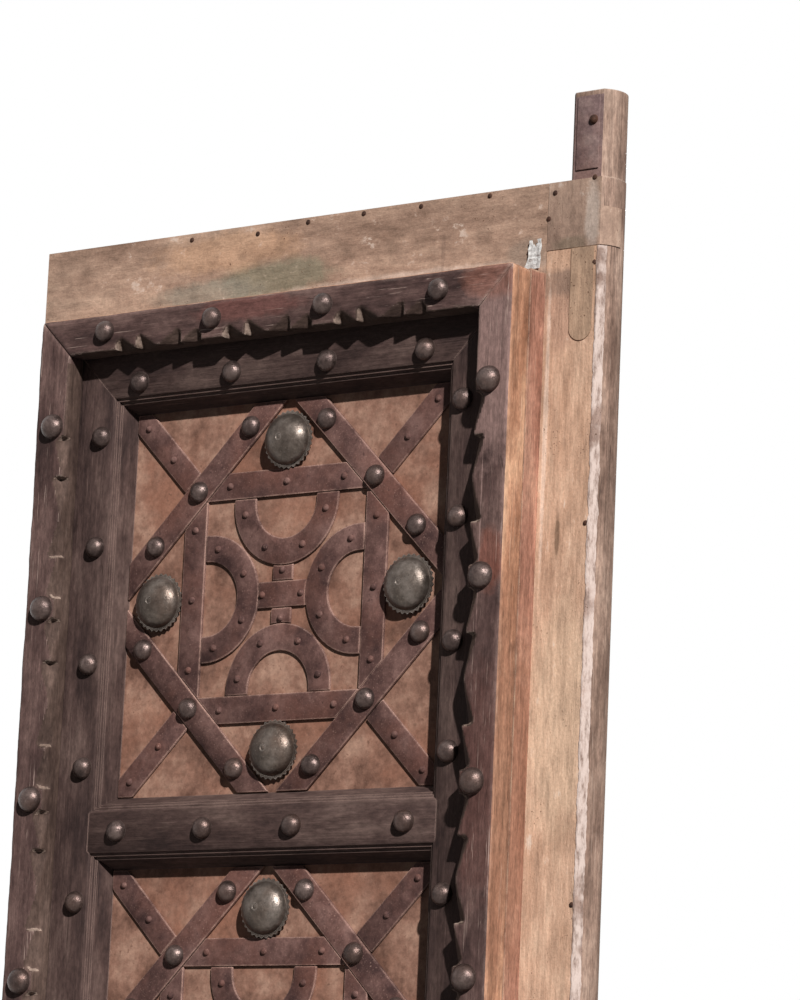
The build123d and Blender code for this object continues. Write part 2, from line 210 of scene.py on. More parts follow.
def grey(value):
    """A plain number as a colour."""
    return (value, value, value, 1)


def wire(tree, kind, sockets, out=0, **settings):
    """Add one node, set or link its sockets, and hand back one of its outputs."""
    made = tree.nodes.new("ShaderNode" + kind)
    for name, value in settings.items():
        setattr(made, name, value)
    for name, value in sockets.items():
        if isinstance(value, bpy.types.NodeSocket):
            tree.links.new(value, made.inputs[name])
        else:
            made.inputs[name].default_value = value
    return made.outputs[out]


def new_finish(name):
    """An empty material, its node tree and its Object coordinates."""
    finish = bpy.data.materials.new(name)
    finish.use_nodes = True
    tree = finish.node_tree
    tree.nodes.clear()
    return finish, tree, wire(tree, "TexCoord", {}, out="Object")


# %% [markdown]
# Stains, grain and rust are all clouds here: noise that can be stretched one way. Image textures could show
# them too, but clouds need no unwrapping and never repeat. They sit on Object coordinates, in metres, so a
# lump of 0.02 is 20 mm on the leaf. Ramps turn them into tones, and blends lay the tones over each other.

# %% Patterns and blends
def along(axis, run, width):
    """Lump sizes of a grain that runs along an axis."""
    return tuple(run if letter == axis else width for letter in "XYZ")


def clouds(tree, coords, lump, detail=5, rough=0.55, twist=0.0):
    """A cloudy pattern whose lumps have the given size along X, Y and Z."""
    sizes = lump if isinstance(lump, tuple) else (lump, lump, lump)
    placed = wire(tree, "Mapping", {"Vector": coords, "Scale": [1 / size for size in sizes]})
    sockets = {"Vector": placed, "Scale": 1, "Detail": detail, "Roughness": rough, "Distortion": twist}
    return wire(tree, "TexNoise", sockets)


def ramp(tree, share, *stops):
    """Colours or numbers along a scale from 0 to 1."""
    result = wire(tree, "ValToRGB", {"Fac": share})
    elements = result.node.color_ramp.elements
    while len(elements) < len(stops):
        elements.new(0.5)
    for element, (place, colour) in zip(elements, stops):
        element.position = place
        element.color = colour if isinstance(colour, tuple) else grey(colour)
    return result


def blend(tree, share, under, over, mode="MIX"):
    """Lay one colour over another."""
    return wire(tree, "Mix", {0: share, 6: under, 7: over}, out=2, data_type="RGBA", blend_type=mode)


def three_tones(tree, pattern, deep, body, pale):
    """Colour a pattern from deep to pale."""
    return ramp(tree, pattern, (0.36, deep), (0.50, body), (0.64, pale))


def shade(tree, colour, patterns, darkest, lightest):
    """Darken and lighten a colour by patterns, each given with its share."""
    for pattern, share in patterns:
        light = ramp(tree, pattern, (0.34, darkest), (0.5, 1.0), (0.66, lightest))
        colour = blend(tree, share, colour, light, "MULTIPLY")
    return colour


def combine(tree, first, second, operation="MULTIPLY"):
    """Two numbers put together, multiplied unless another way is named."""
    return wire(tree, "Math", {0: first, 1: second}, operation=operation)


# %% [markdown]
# Wear is local. A patch stains one place on the leaf, with a ragged border. Worn edges are found by setting
# the true normal against one that is rounded over a small radius: where the two part, there is an edge.

# %% Marks and worn edges
def on_face(x, z, front):
    """A place on a plane of the leaf, from the upper panel's centre, in millimetres."""
    return Vector((eye.x + x * MM, front, eye.z + z * MM))


def patch(tree, coords, centre, reach, ragged=0.45, lump=0.02):
    """A mask that is 1 about a place and fades raggedly to 0 at its reach."""
    placed = {"Vector": coords, "Location": centre, "Scale": reach}
    near = wire(tree, "Mapping", placed, vector_type="TEXTURE")
    away = wire(tree, "VectorMath", {0: near}, out="Value", operation="LENGTH")
    torn = combine(tree, clouds(tree, coords, lump, detail=8, rough=0.65), 2 * ragged)
    away = combine(tree, combine(tree, away, torn, "ADD"), ragged, "SUBTRACT")
    return ramp(tree, away, (0.6, 1.0), (1.0, 0.0))


def mark(tree, coords, colour, marks):
    """Lay local marks over a colour, each given as a centre, a reach, a paint and a strength."""
    for centre, reach, paint, strength in marks:
        share = combine(tree, patch(tree, coords, centre, reach), strength)
        colour = blend(tree, share, colour, paint)
    return colour


def edge_mask(tree, radius, coords, kept, lump=0.025):
    """A mask of sharp edges, broken up by wear: kept is the cloud's range from none to all."""
    soft = wire(tree, "Bevel", {"Radius": radius}, samples=4)
    hard = wire(tree, "NewGeometry", {}, out="Normal")
    likeness = wire(tree, "VectorMath", {0: soft, 1: hard}, out="Value", operation="DOT_PRODUCT")
    edges = ramp(tree, likeness, (0.84, 1.0), (0.985, 0.0))
    worn = ramp(tree, clouds(tree, coords, lump, detail=8, rough=0.7), (kept[0], 0.0), (kept[1], 1.0))
    return combine(tree, edges, worn)


# %% [markdown]
# One shader closes each finish. Its bumps are chained, so that each adds its depth to those before it.

# %% Close a finish
def surface(tree, colour, rough, relief, metallic=0.0, specular=0.1):
    """Close a finish: a shader with colour, roughness and bumps given as pairs of height and depth."""
    sockets = {"Base Color": colour, "Roughness": rough}
    sockets |= {"Metallic": metallic, "Specular IOR Level": specular}
    for height, depth in relief:
        bump = {"Height": height, "Distance": depth}
        if "Normal" in sockets:
            bump["Normal"] = sockets["Normal"]
        sockets["Normal"] = wire(tree, "Bump", bump)
    shader = wire(tree, "BsdfPrincipled", sockets)
    end = tree.nodes.new("ShaderNodeOutputMaterial")
    tree.links.new(shader, end.inputs["Surface"])


# %% [markdown]
# Old timber is mostly direction: soft streaks, finer fibres inside them, pale scratches and dark cracks that
# follow both. Stretched clouds give those. A wider cloud greys and darkens whole areas, and the sharp edges,
# where hands and weather rub, are paler.

# %% Timber
CRACK_TONE = tone(30, 22, 20)


def timber(
    name,
    axis,
    tones,
    grained=0.45,
    streak=5 * MM,
    cracked=0.4,
    scratched=0.35,
    edge=3 * MM,
    kept=(0.38, 0.60),
    marks=(),
):
    """Weathered wood with its grain along an axis, in tones from deep to pale, and last its worn edges."""
    deep, body, pale, worn = [tone(*parts) for parts in tones]
    finish, tree, coords = new_finish(name)
    weather = clouds(tree, coords, along(axis, 0.13, 0.04), detail=8, rough=0.66)
    streaks = clouds(tree, coords, along(axis, 0.22, streak), detail=6, rough=0.62, twist=0.3)
    fibres = clouds(tree, coords, along(axis, 0.04, 0.0022), detail=5, rough=0.65)
    grit = clouds(tree, coords, along(axis, 0.012, 0.005), detail=8, rough=0.75)
    scratches = clouds(tree, coords, along(axis, 0.09, 0.0020), detail=2)
    lines = ramp(tree, scratches, (0.64, 0.0), (0.70, 1.0))
    areas = clouds(tree, coords, along(axis, 0.10, 0.05), detail=4)
    split = clouds(tree, coords, along(axis, 0.50, 0.016), detail=2, twist=0.6)
    cracks = ramp(tree, split, (0.488, 0.0), (0.5, 1.0), (0.512, 0.0))
    cracks = combine(tree, cracks, ramp(tree, areas, (0.50, 0.0), (0.62, cracked)))
    colour = three_tones(tree, weather, deep, body, pale)
    colour = mark(tree, coords, colour, marks)
    patterns = ((streaks, grained), (fibres, 0.8 * grained), (grit, 0.55))
    colour = shade(tree, colour, patterns, 0.45, 1.6)
    rubbed = combine(tree, lines, ramp(tree, areas, (0.44, scratched), (0.58, 0.0)))
    colour = blend(tree, rubbed, colour, worn)
    colour = blend(tree, edge_mask(tree, edge, coords, kept), colour, worn)
    colour = blend(tree, cracks, colour, CRACK_TONE)
    rough = ramp(tree, weather, (0.3, 0.66), (0.7, 0.86))
    relief = (
        (weather, 1.0 * MM),
        (streaks, 0.6 * MM),
        (fibres, 0.35 * MM),
        (grit, 0.5 * MM),
        (cracks, -0.8 * MM),
    )
    surface(tree, colour, rough, relief)
    return finish


# %% [markdown]
# The face of the raised frame is dark from handling, and its planed sides are bright. A few marks stand where
# the timber is rubbed, reddened or darkest. Timber that lies across and timber that stands upright differ
# only in the way of the grain, so a loop makes both.

# %% Timber finishes
outer_marks = (
    (on_face(338, 240, frame_front), (0.06, 0.08, 0.13), tone(142, 114, 107), 0.75),
    (on_face(336, 350, frame_front), (0.05, 0.08, 0.03), tone(134, 90, 76), 0.6),
    (on_face(348, 12, frame_front), (0.022, 0.05, 0.045), tone(128, 72, 54), 0.45),
    (on_face(345, -250, frame_front), (0.04, 0.05, 0.16), tone(88, 58, 52), 0.6),
    (on_face(-30, 350, frame_front), (0.10, 0.05, 0.018), tone(110, 72, 66), 0.7),
    (on_face(332, 45, frame_front), (0.0010, 0.02, 0.14), tone(160, 132, 124), 0.5),
)
side_marks = (
    (on_face(372, -260, frame_front), (0.10, 0.12, 0.28), tone(134, 95, 76), 0.8),
)
outer_tones = ((54, 40, 38), (83, 63, 59), (108, 85, 79), (200, 174, 160))
# Pale tones for the walls of the cuts: partly raw cut wood, partly painted light, as on sunlit walls.
raw_cut_and_painted_light_tones = ((92, 76, 66), (124, 105, 94), (150, 130, 117), (180, 160, 147))
# Darker tones for the floors of the cuts: partly dirt, partly painted shade in the hollows.
chip_dirt_and_painted_shade_tones = ((54, 41, 37), (76, 60, 53), (95, 77, 69), (140, 118, 107))
inner_tones = ((48, 36, 34), (70, 54, 50), (92, 74, 68), (134, 110, 101))
sawn_tones = ((142, 99, 76), (168, 124, 98), (196, 154, 124), (220, 190, 168))
base_tones = ((124, 85, 70), (150, 108, 91), (168, 127, 107), (190, 160, 136))
leaf_tones = ((104, 84, 70), (146, 120, 100), (170, 144, 122), (186, 164, 144))
post_tones = ((104, 82, 71), (137, 112, 98), (166, 140, 124), (190, 168, 152))
board_tones = ((92, 72, 58), (128, 102, 84), (152, 126, 106), (170, 146, 126))
finishes = {
    "post": timber("post_timber", "Z", post_tones, streak=8 * MM, cracked=0.7),
    "boards": timber("board_timber", "Z", board_tones, grained=0.6),
}
handled = {"grained": 0.22, "scratched": 0.6, "edge": 6 * MM, "kept": (0.40, 0.56), "marks": outer_marks}
planed = {"grained": 0.4, "streak": 11 * MM, "marks": side_marks}
for run, axis in (("across", "X"), ("upright", "Z")):
    finishes[f"outer_{run}"] = timber(f"outer_{run}", axis, outer_tones, **handled)
    finishes[f"cut_{run}"] = timber(f"cut_{run}", axis, raw_cut_and_painted_light_tones, grained=0.3, cracked=0.1)
    finishes[f"chip_dirt_and_painted_shade_{run}"] = timber(f"chip_dirt_and_painted_shade_{run}", axis, chip_dirt_and_painted_shade_tones, grained=0.3, cracked=0.1)
    finishes[f"inner_{run}"] = timber(f"inner_{run}", axis, inner_tones, grained=0.25, kept=(0.3, 0.5))
    finishes[f"sawn_{run}"] = timber(f"sawn_{run}", axis, sawn_tones, edge=6 * MM, **planed)
    finishes[f"base_{run}"] = timber(f"base_{run}", axis, base_tones, **planed)
    finishes[f"leaf_{run}"] = timber(f"leaf_{run}", axis, leaf_tones, grained=0.6)
print("timber finishes", len(finishes))

# %% [markdown]
# The stiles and rails are faced with thin painted sheet, stained by rain and rust. It has blotches and
# specks rather than grain, with only a faint direction, and a few marks of its own.

# %% Sheet cladding
SPECK_TONE = tone(84, 60, 46)


def cladding(name, axis, tones, blot=(0.05, 0.013), faded=0.3, flaked=(0.58, 0.64, 0.40), marks=()):
    """Stained sheet: tones from deep to pale, then paint, with blots along an axis and local marks.

    The paint comes in between the first two levels of the blots, in areas below the third level.
    """
    deep, body, pale, paint = [tone(*parts) for parts in tones]
    finish, tree, coords = new_finish(name)
    broad = clouds(tree, coords, along(axis, 0.18, 0.055), detail=9, rough=0.68)
    blots = clouds(tree, coords, along(axis, *blot), detail=9, rough=0.72)
    hairs = clouds(tree, coords, along(axis, 0.08, 0.0034), detail=5, rough=0.65)
    specks = clouds(tree, coords, 0.0038, detail=4, rough=0.65)
    where = clouds(tree, coords, 0.05, detail=4)
    colour = three_tones(tree, broad, deep, body, pale)
    colour = mark(tree, coords, colour, marks)
    patterns = ((blots, 0.6), (hairs, faded), (specks, 0.25))
    colour = shade(tree, colour, patterns, 0.55, 1.4)
    stained = ramp(tree, where, (0.5, 0.0), (0.6, 1.0))
    spotted = combine(tree, ramp(tree, specks, (0.60, 0.0), (0.66, 0.85)), stained)
    colour = blend(tree, spotted, colour, SPECK_TONE)
    bare, covered, reach = flaked
    left = ramp(tree, where, (reach, 1.0), (reach + 0.1, 0.0))
    chalky = combine(tree, ramp(tree, blots, (bare, 0.0), (covered, 0.8)), left)
    colour = blend(tree, chalky, colour, paint)
    rough = ramp(tree, blots, (0.3, 0.6), (0.7, 0.85))
    relief = ((broad, 3.0 * MM), (blots, 0.9 * MM), (hairs, 0.2 * MM), (specks, 0.2 * MM))
    surface(tree, colour, rough, relief)
    return finish


# %% [markdown]
# Each sheet has marks in places of its own: a green damp stain on the rail, darker patches just below the
# corner plate, pale streaks along the stile. The strip and the tab are thin tin, and greyer than the rest.

# %% Cladding finishes
rail_marks = (
    (on_face(-45, 404, clad_front), (0.11, 0.05, 0.03), tone(122, 116, 97), 0.8),
    (on_face(-150, 395, clad_front), (0.10, 0.05, 0.02), tone(138, 130, 116), 0.7),
    (on_face(150, 380, clad_front), (0.25, 0.05, 0.012), tone(196, 172, 156), 0.7),
    (on_face(-120, 445, clad_front), (0.14, 0.05, 0.03), tone(186, 146, 116), 0.6),
    (on_face(213, 410, clad_front), (0.004, 0.05, 0.030), tone(126, 102, 88), 0.4),
    (on_face(335, 392, clad_front), (0.035, 0.05, 0.022), tone(138, 120, 106), 0.7),
)
stile_marks = (
    (on_face(395, 46, clad_front), (0.004, 0.05, 0.030), tone(110, 88, 70), 0.7),
    (on_face(386, 318, clad_front), (0.030, 0.05, 0.06), tone(166, 132, 113), 0.7),
    (on_face(380, 352, clad_front), (0.045, 0.05, 0.02), tone(132, 110, 96), 0.7),
    (on_face(405, -170, clad_front), (0.05, 0.05, 0.17), tone(206, 176, 149), 0.6),
    (on_face(372, 180, clad_front), (0.004, 0.05, 0.20), tone(218, 196, 178), 0.6),
)
plate_marks = (
    (on_face(428, 430, clad_front), (0.012, 0.05, 0.05), tone(186, 170, 158), 0.6),
    (on_face(398, 398, clad_front), (0.030, 0.05, 0.012), tone(118, 102, 86), 0.7),
)
rail_tones = ((134, 107, 91), (164, 134, 115), (184, 154, 133), (206, 184, 168))
stile_tones = ((174, 138, 114), (196, 160, 135), (210, 178, 152), (218, 198, 180))
plate_tones = ((134, 109, 95), (158, 131, 114), (176, 150, 132), (196, 178, 164))
tongue_tones = ((146, 120, 100), (168, 139, 116), (186, 156, 132), (200, 176, 156))
strip_tones = ((116, 94, 84), (154, 129, 117), (178, 154, 143), (206, 187, 177))
tab_tones = ((170, 166, 162), (206, 203, 199), (228, 225, 220), (240, 236, 230))
rail_look = {"blot": (0.03, 0.018), "faded": 0.15, "marks": rail_marks}
plate_look = {"blot": (0.022, 0.016), "faded": 0.1, "marks": plate_marks}
strip_look = {"blot": (0.022, 0.006), "faded": 0.4, "flaked": (0.36, 0.54, 0.54)}
tab_look = {"blot": (0.008, 0.004), "faded": 0.0}
finishes["rail_sheet"] = cladding("rail_sheet", "X", rail_tones, **rail_look)
finishes["stile_sheet"] = cladding("stile_sheet", "Z", stile_tones, marks=stile_marks)
finishes["plate"] = cladding("corner_plate", "Z", plate_tones, **plate_look)
finishes["tongue"] = cladding("tongue_sheet", "Z", tongue_tones)
finishes["strip"] = cladding("arris_strip", "Z", strip_tones, **strip_look)
finishes["tab"] = cladding("tin_tab", "Z", tab_tones, **tab_look)
print("finishes with the cladding", len(finishes))

# %% [markdown]
# The panels are rusted sheet: warm tan, clouded with darker and greyer patches, freckled and pitted. The
# straps are darker, reddish brown iron with pale edges, partly rubbed and partly a painted highlight of their
# lit bevels. Bosses and studs have been polished by hands, so they are the only finishes with a metal's
# shine.

# %% Rusted iron
def rusted(name, lump, tones, edge, kept=(0.36, 0.56), dents=0.8 * MM, shine=None):
    """Rusted iron in tones from deep to pale, then red rust and pale rubbed edges (wide ones, as on the
    straps, also paint a highlight), with freckles and dents.
    """
    deep, body, pale, ruddy, worn = [tone(*parts) for parts in tones]
    finish, tree, coords = new_finish(name)
    broad = clouds(tree, coords, lump, detail=8, rough=0.65)
    fine = clouds(tree, coords, lump / 7, detail=7, rough=0.7)
    pits = clouds(tree, coords, 0.0020, detail=3, rough=0.7)
    freckles = clouds(tree, coords, 0.006, detail=4, rough=0.6)
    colour = three_tones(tree, broad, deep, body, pale)
    rust = clouds(tree, coords, 2.4 * lump, detail=7, rough=0.6)
    colour = blend(tree, ramp(tree, rust, (0.50, 0.0), (0.66, 0.75)), colour, ruddy)
    colour = shade(tree, colour, ((fine, 0.40), (freckles, 0.24)), 0.5, 1.4)
    colour = blend(tree, ramp(tree, freckles, (0.62, 0.0), (0.72, 0.7)), colour, deep)
    colour = blend(tree, ramp(tree, pits, (0.30, 0.40), (0.40, 0.0)), colour, worn)
    colour = blend(tree, edge_mask(tree, edge, coords, kept), colour, worn)
    shine = shine or {"metallic": 0.0, "specular": 0.1}
    smooth, coarse = (0.25, 0.42) if shine["metallic"] else (0.60, 0.85)
    rough = ramp(tree, fine, (0.3, smooth), (0.7, coarse))
    relief = ((broad, dents), (fine, 0.4 * MM), (pits, 0.12 * MM))
    surface(tree, colour, rough, relief, **shine)
    return finish


# %% [markdown]
# One function serves all the iron. Large lumps suit a sheet and small ones a nail, and a wide edge gives the
# straps their pale outline, partly rubbed and partly a painted highlight.

# %% Iron finishes
panel_tones = ((102, 73, 61), (139, 103, 87), (166, 130, 111), (144, 99, 80), (184, 150, 131))
strap_tones = ((60, 42, 40), (90, 65, 60), (118, 89, 82), (102, 68, 59), (196, 158, 142))
pintle_tones = ((94, 75, 74), (118, 96, 93), (138, 116, 110), (128, 98, 90), (170, 148, 138))
boss_tones = ((64, 55, 49), (90, 80, 73), (115, 105, 98), (88, 70, 60), (152, 141, 133))
stud_tones = ((56, 45, 42), (80, 66, 62), (102, 87, 82), (84, 65, 58), (136, 120, 113))
nail_tones = ((40, 28, 24), (62, 44, 36), (84, 60, 48), (80, 50, 38), (110, 84, 70))
polished = {"dents": 1.2 * MM, "shine": {"metallic": 0.65, "specular": 0.2}}
finishes["panel"] = rusted("panel_iron", 0.05, panel_tones, 1.0 * MM)
# The straps' wide pale edges are partly rubbed iron and partly a painted highlight of their lit bevels.
finishes["strap"] = rusted("strap_iron", 0.05, strap_tones, 3.4 * MM, kept=(0.34, 0.54))
finishes["rivet"] = rusted("rivet_iron", 0.02, strap_tones, 0.5 * MM, kept=(0.6, 0.8))
finishes["pintle"] = rusted("pintle_iron", 0.03, pintle_tones, 1.5 * MM, kept=(0.5, 0.7))
finishes["boss"] = rusted("boss_iron", 0.04, boss_tones, 1.5 * MM, **polished)
finishes["stud"] = rusted("stud_iron", 0.02, stud_tones, 1.5 * MM, **polished)
finishes["nail"] = rusted("nail_iron", 0.01, nail_tones, 1.0 * MM)
print("finishes in all", len(finishes))

# %% [markdown]
# Most solids have the right shape already and only want a finish. A loop goes over them by name. What is
# replaced later by a richer piece gets its finish then.

# %% Dress the solids that stay
def dress(piece, *names):
    """Give a piece its finishes, the first one everywhere."""
    piece.data.materials.clear()
    for name in names:
        piece.data.materials.append(finishes[name])


lies_across = ("top", "bottom")
for side in SIDES:
    run = "across" if side in lies_across else "upright"
    dress(solids[f"frame_base_{side}"], f"base_{run}")
for name in PANELS:
    dress(solids[f"panel_boards_{name}"], "boards")
    dress(solids[f"back_batten_{name}"], "leaf_across")
    dress(solids[f"panel_sheet_{name}"], "panel")
for node, finish in {
    "meeting_stile": "leaf_upright",
    "top_rail": "leaf_across",
    "bottom_rail": "leaf_across",
    "top_rail_sheet": "rail_sheet",
    "bottom_rail_sheet": "rail_sheet",
    "meeting_stile_sheet": "stile_sheet",
    "pivot_stile_sheet": "stile_sheet",
    "corner_plate_top": "plate",
    "corner_plate_bottom": "plate",
    "tongue_strap": "tongue",
}.items():
    dress(solids[node], finish)
print("dressed", sum(bool(node.data.materials) for node in solids.values()))

# %% [markdown]
# An operator acts on all that is selected, so each step first selects one piece and nothing else. A modifier
# could stay live, but applying it at once lets the next step work on the finished mesh.

# %% Select and change a piece
def take(piece):
    """Select one piece and make it active."""
    bpy.ops.object.select_all(action="DESELECT")
    piece.select_set(True)
    bpy.context.view_layer.objects.active = piece


def open_mesh(piece):
    """Go into a piece's mesh with all of it selected."""
    take(piece)
    bpy.ops.object.mode_set(mode="EDIT")
    bpy.ops.mesh.select_all(action="SELECT")


def close_mesh():
    """Leave the mesh that is open."""
    bpy.ops.object.mode_set(mode="OBJECT")


def soften(piece, angle):
    """Shade a piece smooth, except across edges that turn by more than an angle."""
    take(piece)
    bpy.ops.object.shade_smooth_by_angle(angle=angle)


def modify(piece, kind, **settings):
    """Add a modifier with its settings and apply it."""
    take(piece)
    modifier = piece.modifiers.new(kind.lower(), kind)
    for name, value in settings.items():
        setattr(modifier, name, value)
    bpy.ops.object.modifier_apply(modifier=modifier.name)


def seat(piece, slot, *nodes):
    """Fix a finished piece to the leaf and let it stand for its solids."""
    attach(piece, "root")
    if nodes:
        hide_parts(*nodes)


# %% [markdown]
# The solids have razor-sharp edges, and nothing on an old door has. A copy of a solid is welded, cleared of
# the triangles that its file needed, and gets a narrow bevel. The copy then stands for the solid.

# %% Worn copies of solids
WELD_DISTANCE = 0.02 * MM
FLAT_ANGLE = radians(1)
BEVEL_ANGLE = radians(28)
WORN_ANGLE = radians(35)
CARVED_ANGLE = radians(40)
CARVED_SOFTNESS = 0.5
CARVED_ROUNDS = 5


def clean_copy(node, name):
    """A copy of a solid, welded and cleared of needless edges."""
    piece = bpy.data.objects.new(name, solids[node].data.copy())
    scene.collection.objects.link(piece)
    open_mesh(piece)
    bpy.ops.mesh.customdata_custom_splitnormals_clear()
    bpy.ops.mesh.remove_doubles(threshold=WELD_DISTANCE)
    bpy.ops.mesh.dissolve_limited(angle_limit=FLAT_ANGLE)
    close_mesh()
    return piece


def worn_copy(node, name, edge, segments=2):
    """A copy of a solid with its edges rounded by wear."""
    piece = clean_copy(node, name)
    modify(piece, "BEVEL", width=edge, segments=segments, limit_method="ANGLE", angle_limit=BEVEL_ANGLE)
    soften(piece, WORN_ANGLE)
    return piece


def carved_copy(node, name, grain, dents):
    """A copy of a solid remade in small even faces, and dented by clouds given as size and depth."""
    piece = clean_copy(node, name)
    modify(piece, "REMESH", mode="VOXEL", voxel_size=grain)
    modify(piece, "SMOOTH", factor=CARVED_SOFTNESS, iterations=CARVED_ROUNDS)
    for size, depth in dents:
        wear = bpy.data.textures.new("wear", "CLOUDS")
        wear.noise_scale = size
        modify(piece, "DISPLACE", texture=wear, texture_coords="LOCAL", strength=depth)
        bpy.data.textures.remove(wear)
    soften(piece, CARVED_ANGLE)
    return piece


# %% [markdown]
# The raised frame is a dark face over lighter sawn sides, because the face has been handled and the sides
# have been planed. Its teeth were cut by hand, so a bevel alone looks too neat: the bars are remade in small
# even faces that can be softened and dented. Faces on the outer side then get the sawn finish. The walls of
# the cuts get a pale finish, partly raw cut wood and partly painted light as on sunlit walls, and their
# floors a darker one, partly dirt and partly painted shade.

# %% Mouldings and rails
INNER_EDGE = 0.8 * MM
CARVED_GRAIN = 2.2 * MM
CARVED_DENTS = ((0.014, 1.0 * MM), (0.09, 2.0 * MM))
SAWN_LEAN = 0.75
CUT_LEAN = 0.5
FLAT_LEAN = 0.955
MITRE_MARGIN = 25 * MM
SAWN_PLACE = 1
RAW_CUT_AND_PAINTED_LIGHT_PLACE = 2
CHIP_DIRT_AND_PAINTED_SHADE_PLACE = 3
outward = {
    "top": Vector((0, 0, 1)),
    "right": Vector((1, 0, 0)),
    "bottom": Vector((0, 0, -1)),
    "left": Vector((-1, 0, 0)),
}
for side in SIDES:
    run = "across" if side in lies_across else "upright"
    bar = carved_copy(f"outer_moulding_{side}", f"carved_moulding_{side}", CARVED_GRAIN, CARVED_DENTS)
    dress(bar, f"outer_{run}", f"sawn_{run}", f"cut_{run}", f"chip_dirt_and_painted_shade_{run}")
    lengthwise = Vector((1, 0, 0)) if side in lies_across else Vector((0, 0, 1))
    first, last = [corner.dot(lengthwise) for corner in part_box(f"inner_moulding_{side}")]
    for face in bar.data.polygons:
        notched = first + MITRE_MARGIN < face.center.dot(lengthwise) < last - MITRE_MARGIN
        if face.normal.dot(outward[side]) > SAWN_LEAN:
            face.material_index = SAWN_PLACE
        # Walls of the cuts get a pale finish, partly painted light.
        elif notched and abs(face.normal.dot(lengthwise)) > CUT_LEAN:
            face.material_index = RAW_CUT_AND_PAINTED_LIGHT_PLACE
        # Floors of the cuts get a darker finish, partly painted shade.
        elif notched and -face.normal.y < FLAT_LEAN and face.normal.dot(outward[side]) < 0:
            face.material_index = CHIP_DIRT_AND_PAINTED_SHADE_PLACE
    seat(bar, "outer_timber", f"outer_moulding_{side}")
    print(bar.name, len(bar.data.polygons), "faces")
    bar = worn_copy(f"inner_moulding_{side}", f"reeded_moulding_{side}", INNER_EDGE)
    dress(bar, f"inner_{run}")
    seat(bar, "inner_timber", f"inner_moulding_{side}")
for name in ("upper", "lower"):
    bar = worn_copy(f"cross_rail_{name}", f"reeded_cross_rail_{name}", INNER_EDGE)
    dress(bar, "inner_across")
    seat(bar, "inner_timber", f"cross_rail_{name}")
print("mouldings", 2 * len(SIDES), "cross rails", 2)

# %% [markdown]
# The post has been turned and handled for so long that its ends are round. A wide bevel on a copy does that.
# Two cuts then bound the flat of the top pintle, which is faced with iron.

# %% Post
POST_EDGE = 4 * MM
PINTLE_LEAN = 0.9
PINTLE_PLACE = 1
strap_low, strap_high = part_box("pintle_strap")
post = worn_copy("pivot_stile", "worn_post", POST_EDGE, segments=3)
dress(post, "post", "pintle")
open_mesh(post)
for height in (leaf_top, strap_high.z):
    bpy.ops.mesh.select_all(action="SELECT")
    bpy.ops.mesh.bisect(plane_co=(0, 0, height), plane_no=(0, 0, 1))
close_mesh()
for face in post.data.polygons:
    if -face.normal.y > PINTLE_LEAN and leaf_top < face.center.z < strap_high.z:
        face.material_index = PINTLE_PLACE
seat(post, "post_timber", "pivot_stile")
print("post faces", len(post.data.polygons))

# %% [markdown]
# Straps of flat iron lie on the panels. Their rubbed edges catch the light, so each gets a bevel too. The
# diamonds cross over the other straps, so they are drawn out to stand a little prouder.

# %% Straps
STRAP_EDGE = 2.2 * MM
DIAMOND_SWELL = 1.4
straight_straps = ("diamond_straps", "corner_straps", "square_straps")
strap_nodes = [f"{kind}_{name}" for kind in straight_straps for name in PANELS]
strap_nodes += ["arc_straps", "centre_ties", "pintle_strap"]
for node in strap_nodes:
    strap = worn_copy(node, f"worn_{node}", STRAP_EDGE)
    if node.startswith("diamond"):
        open_mesh(strap)
        seated = (0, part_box(node)[1].y, 0)
        bpy.ops.transform.resize(value=(1, DIAMOND_SWELL, 1), center_override=seated)
        close_mesh()
    dress(strap, "pintle" if node == "pintle_strap" else "strap")
    seat(strap, "strap_iron", node)
print("strap groups", len(strap_nodes))

# %% [markdown]
# Studs and bosses go where the solids have theirs. One solid holds many of them, so its separate lumps are
# found by following shared corners, and each lump's box gives a size and a place.

# %% Lumps of a solid
def lumps(node):
    """Boxes of the separate lumps in a solid."""
    mesh = solids[node].data
    corner_of = [tuple(round(c, 5) for c in vertex.co) for vertex in mesh.vertices]
    owner = {corner: corner for corner in corner_of}

    def root(corner):
        while owner[corner] != corner:
            corner = owner[corner]
        return corner

    for face in mesh.polygons:
        first = root(corner_of[face.vertices[0]])
        for index in face.vertices[1:]:
            owner[root(corner_of[index])] = first
    groups = {}
    for corner in owner:
        groups.setdefault(root(corner), []).append(corner)
    boxes = []
    for corners in groups.values():
        columns = list(zip(*corners))
        low = Vector([min(column) for column in columns])
        high = Vector([max(column) for column in columns])
        boxes.append((low, high))
    return boxes


def foot(low, high):
    """The middle of a head's foot, from the head's box."""
    return Vector(((low.x + high.x) / 2, high.y, (low.z + high.z) / 2))


# %% [markdown]
# A hammered head is made from a sphere that is cut at its widest ring and flattened. It is modelled once,
# and copies are turned to face the front, spun by chance, and joined.

# %% Round heads
# Heads sit square. A number of radians here would tilt each one by chance.
HEAD_LEAN = 0.0
HEAD_ANGLE = radians(50)
chance = Random(11)


def round_head(radius, height, segments=24, rings=14):
    """A domed head that stands on the ground and looks up."""
    bpy.ops.mesh.primitive_uv_sphere_add(segments=segments, ring_count=rings, radius=radius)
    head = bpy.context.object
    open_mesh(head)
    bpy.ops.mesh.bisect(plane_co=(0, 0, 0), plane_no=(0, 0, 1), use_fill=True, clear_inner=True)
    bpy.ops.mesh.select_all(action="SELECT")
    bpy.ops.transform.resize(value=(1, 1, height / radius), center_override=(0, 0, 0))
    close_mesh()
    return head


